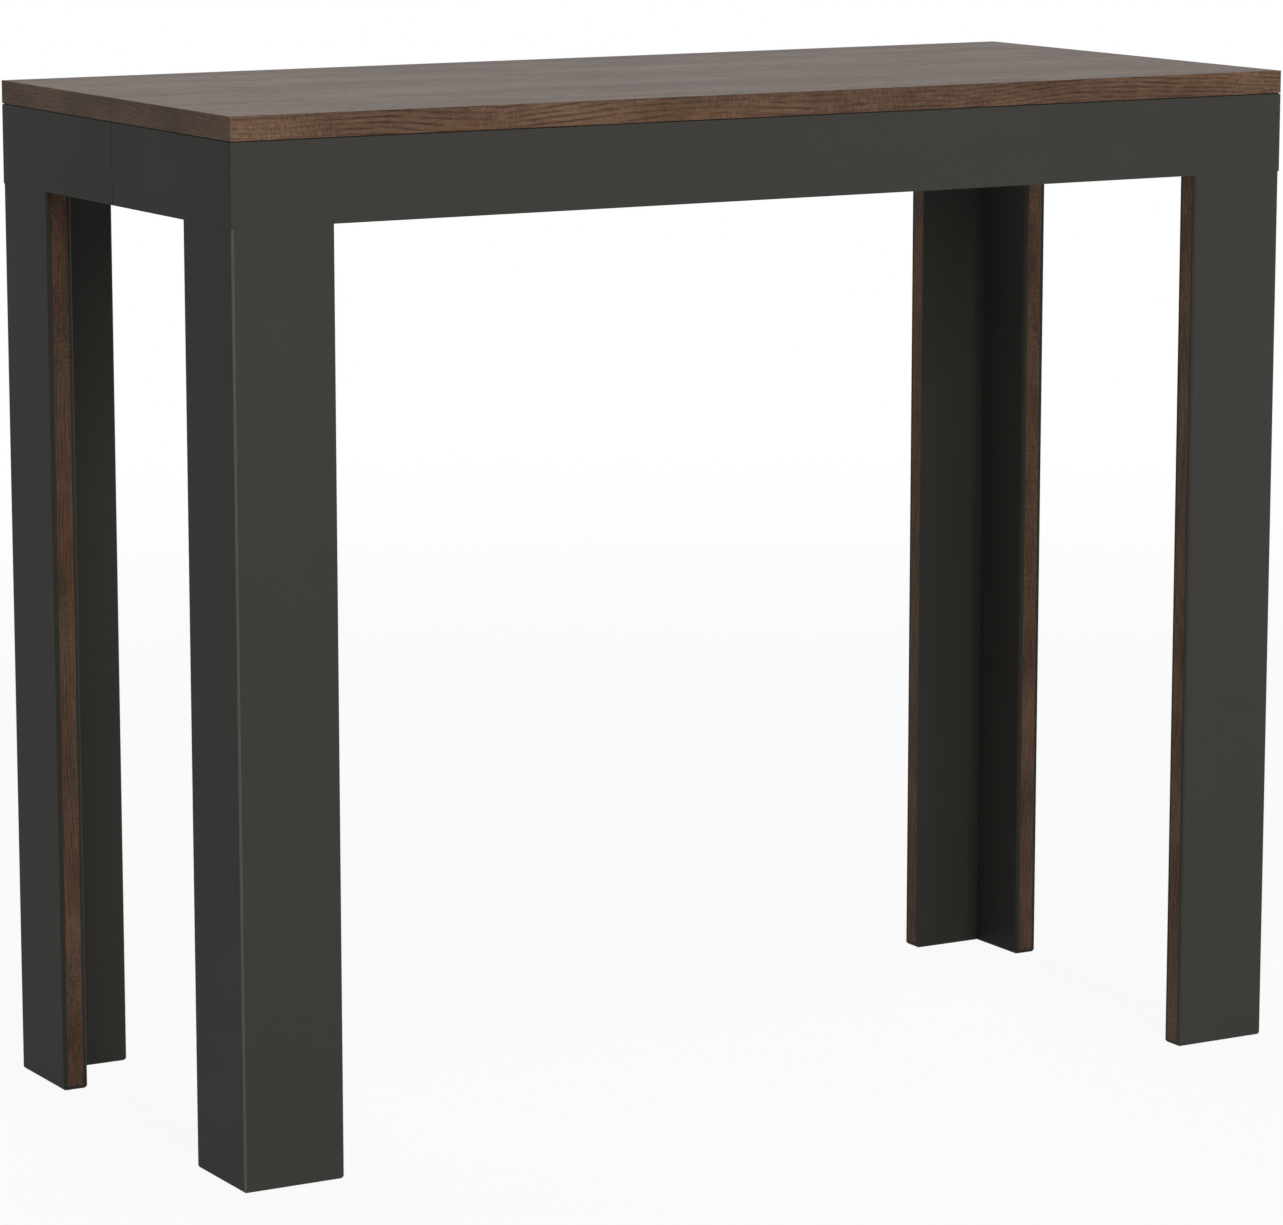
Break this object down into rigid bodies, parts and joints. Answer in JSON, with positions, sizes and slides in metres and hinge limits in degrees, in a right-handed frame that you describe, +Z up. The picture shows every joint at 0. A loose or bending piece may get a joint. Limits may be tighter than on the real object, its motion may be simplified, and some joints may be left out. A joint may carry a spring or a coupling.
{
  "type": "extending console table",
  "caption": "Narrow console table that extends to a dining table: the front half slides out with its legs on interlocking telescopic bars under the top.",
  "frame": {"origin": "on the floor, under the middle of the closed table's footprint", "axes": "+X along the 900 mm length towards the right end, +Y to the wall behind (the front half pulls out towards -Y), +Z up"},
  "size_m": [0.9, 0.4, 0.77],
  "materials": {
    "walnut_decor": "dark walnut decor on board, satin, open straight grain along the table",
    "walnut_edging": "dark walnut edge band, satin, grain along the leg",
    "anthracite_decor": "anthracite melamine on board, matt",
    "extruded_aluminium": "extruded, natural anodised, fine die lines along the bar",
    "nylon": "black moulded nylon, matt",
    "zinc_steel": "bright zinc plate",
    "beech": "plain turned beech"
  },
  "bodies": {
    "rear_half": {"rear_top": "walnut_decor", "rear_apron": "anthracite_decor", "rear_left_apron": "anthracite_decor", "rear_left_leg_back_panel": "anthracite_decor", "rear_left_leg_end_panel": "anthracite_decor", "rear_left_leg_edge_bands": "walnut_edging", "rear_right_apron": "anthracite_decor", "rear_right_leg_back_panel": "anthracite_decor", "rear_right_leg_end_panel": "anthracite_decor", "rear_right_leg_edge_bands": "walnut_edging", "rear_leg_brackets": "zinc_steel", "rear_top_cleats": "zinc_steel", "rear_guide_angles": "extruded_aluminium", "rear_screws": "zinc_steel", "rear_guide_screws": "zinc_steel", "left_guide_bar_1": "extruded_aluminium", "right_guide_bar_1": "extruded_aluminium", "left_guide_glides_1": "nylon", "right_guide_glides_1": "nylon"},
    "front_half": {"front_top": "walnut_decor", "front_apron": "anthracite_decor", "front_left_apron": "anthracite_decor", "front_left_leg_front_panel": "anthracite_decor", "front_left_leg_end_panel": "anthracite_decor", "front_left_leg_edge_bands": "walnut_edging", "front_right_apron": "anthracite_decor", "front_right_leg_front_panel": "anthracite_decor", "front_right_leg_end_panel": "anthracite_decor", "front_right_leg_edge_bands": "walnut_edging", "front_leg_brackets": "zinc_steel", "front_top_cleats": "zinc_steel", "front_guide_angles": "extruded_aluminium", "front_screws": "zinc_steel", "front_guide_screws": "zinc_steel", "left_guide_bar_7": "extruded_aluminium", "right_guide_bar_7": "extruded_aluminium", "left_guide_glides_7": "nylon", "right_guide_glides_7": "nylon", "seam_dowels": "beech"},
    "left_bar_2": {"left_guide_bar_2": "extruded_aluminium", "left_guide_glides_2": "nylon"},
    "left_bar_3": {"left_guide_bar_3": "extruded_aluminium", "left_guide_glides_3": "nylon"},
    "left_bar_4": {"left_guide_bar_4": "extruded_aluminium", "left_guide_glides_4": "nylon"},
    "left_bar_5": {"left_guide_bar_5": "extruded_aluminium", "left_guide_glides_5": "nylon"},
    "left_bar_6": {"left_guide_bar_6": "extruded_aluminium", "left_guide_glides_6": "nylon"},
    "right_bar_2": {"right_guide_bar_2": "extruded_aluminium", "right_guide_glides_2": "nylon"},
    "right_bar_3": {"right_guide_bar_3": "extruded_aluminium", "right_guide_glides_3": "nylon"},
    "right_bar_4": {"right_guide_bar_4": "extruded_aluminium", "right_guide_glides_4": "nylon"},
    "right_bar_5": {"right_guide_bar_5": "extruded_aluminium", "right_guide_glides_5": "nylon"},
    "right_bar_6": {"right_guide_bar_6": "extruded_aluminium", "right_guide_glides_6": "nylon"}
  },
  "joints": [
    {"name": "top_extension", "type": "slide", "parent": "rear_half", "child": "front_half", "axis": [0, -1, 0], "range_m": [0, 1.56]},
    {"name": "left_bar_2_slide", "type": "slide", "parent": "rear_half", "child": "left_bar_2", "axis": [0, -1, 0], "range_m": [0, 0.26]},
    {"name": "left_bar_3_slide", "type": "slide", "parent": "rear_half", "child": "left_bar_3", "axis": [0, -1, 0], "range_m": [0, 0.52]},
    {"name": "left_bar_4_slide", "type": "slide", "parent": "rear_half", "child": "left_bar_4", "axis": [0, -1, 0], "range_m": [0, 0.78]},
    {"name": "left_bar_5_slide", "type": "slide", "parent": "rear_half", "child": "left_bar_5", "axis": [0, -1, 0], "range_m": [0, 1.04]},
    {"name": "left_bar_6_slide", "type": "slide", "parent": "rear_half", "child": "left_bar_6", "axis": [0, -1, 0], "range_m": [0, 1.3]},
    {"name": "right_bar_2_slide", "type": "slide", "parent": "rear_half", "child": "right_bar_2", "axis": [0, -1, 0], "range_m": [0, 0.26]},
    {"name": "right_bar_3_slide", "type": "slide", "parent": "rear_half", "child": "right_bar_3", "axis": [0, -1, 0], "range_m": [0, 0.52]},
    {"name": "right_bar_4_slide", "type": "slide", "parent": "rear_half", "child": "right_bar_4", "axis": [0, -1, 0], "range_m": [0, 0.78]},
    {"name": "right_bar_5_slide", "type": "slide", "parent": "rear_half", "child": "right_bar_5", "axis": [0, -1, 0], "range_m": [0, 1.04]},
    {"name": "right_bar_6_slide", "type": "slide", "parent": "rear_half", "child": "right_bar_6", "axis": [0, -1, 0], "range_m": [0, 1.3]}
  ],
  "couplings": [
    {"joint": "left_bar_2_slide", "follows": "top_extension", "ratio": 0.16667},
    {"joint": "left_bar_3_slide", "follows": "top_extension", "ratio": 0.33333},
    {"joint": "left_bar_4_slide", "follows": "top_extension", "ratio": 0.5},
    {"joint": "left_bar_5_slide", "follows": "top_extension", "ratio": 0.66667},
    {"joint": "left_bar_6_slide", "follows": "top_extension", "ratio": 0.83333},
    {"joint": "right_bar_2_slide", "follows": "top_extension", "ratio": 0.16667},
    {"joint": "right_bar_3_slide", "follows": "top_extension", "ratio": 0.33333},
    {"joint": "right_bar_4_slide", "follows": "top_extension", "ratio": 0.5},
    {"joint": "right_bar_5_slide", "follows": "top_extension", "ratio": 0.66667},
    {"joint": "right_bar_6_slide", "follows": "top_extension", "ratio": 0.83333}
  ]
}
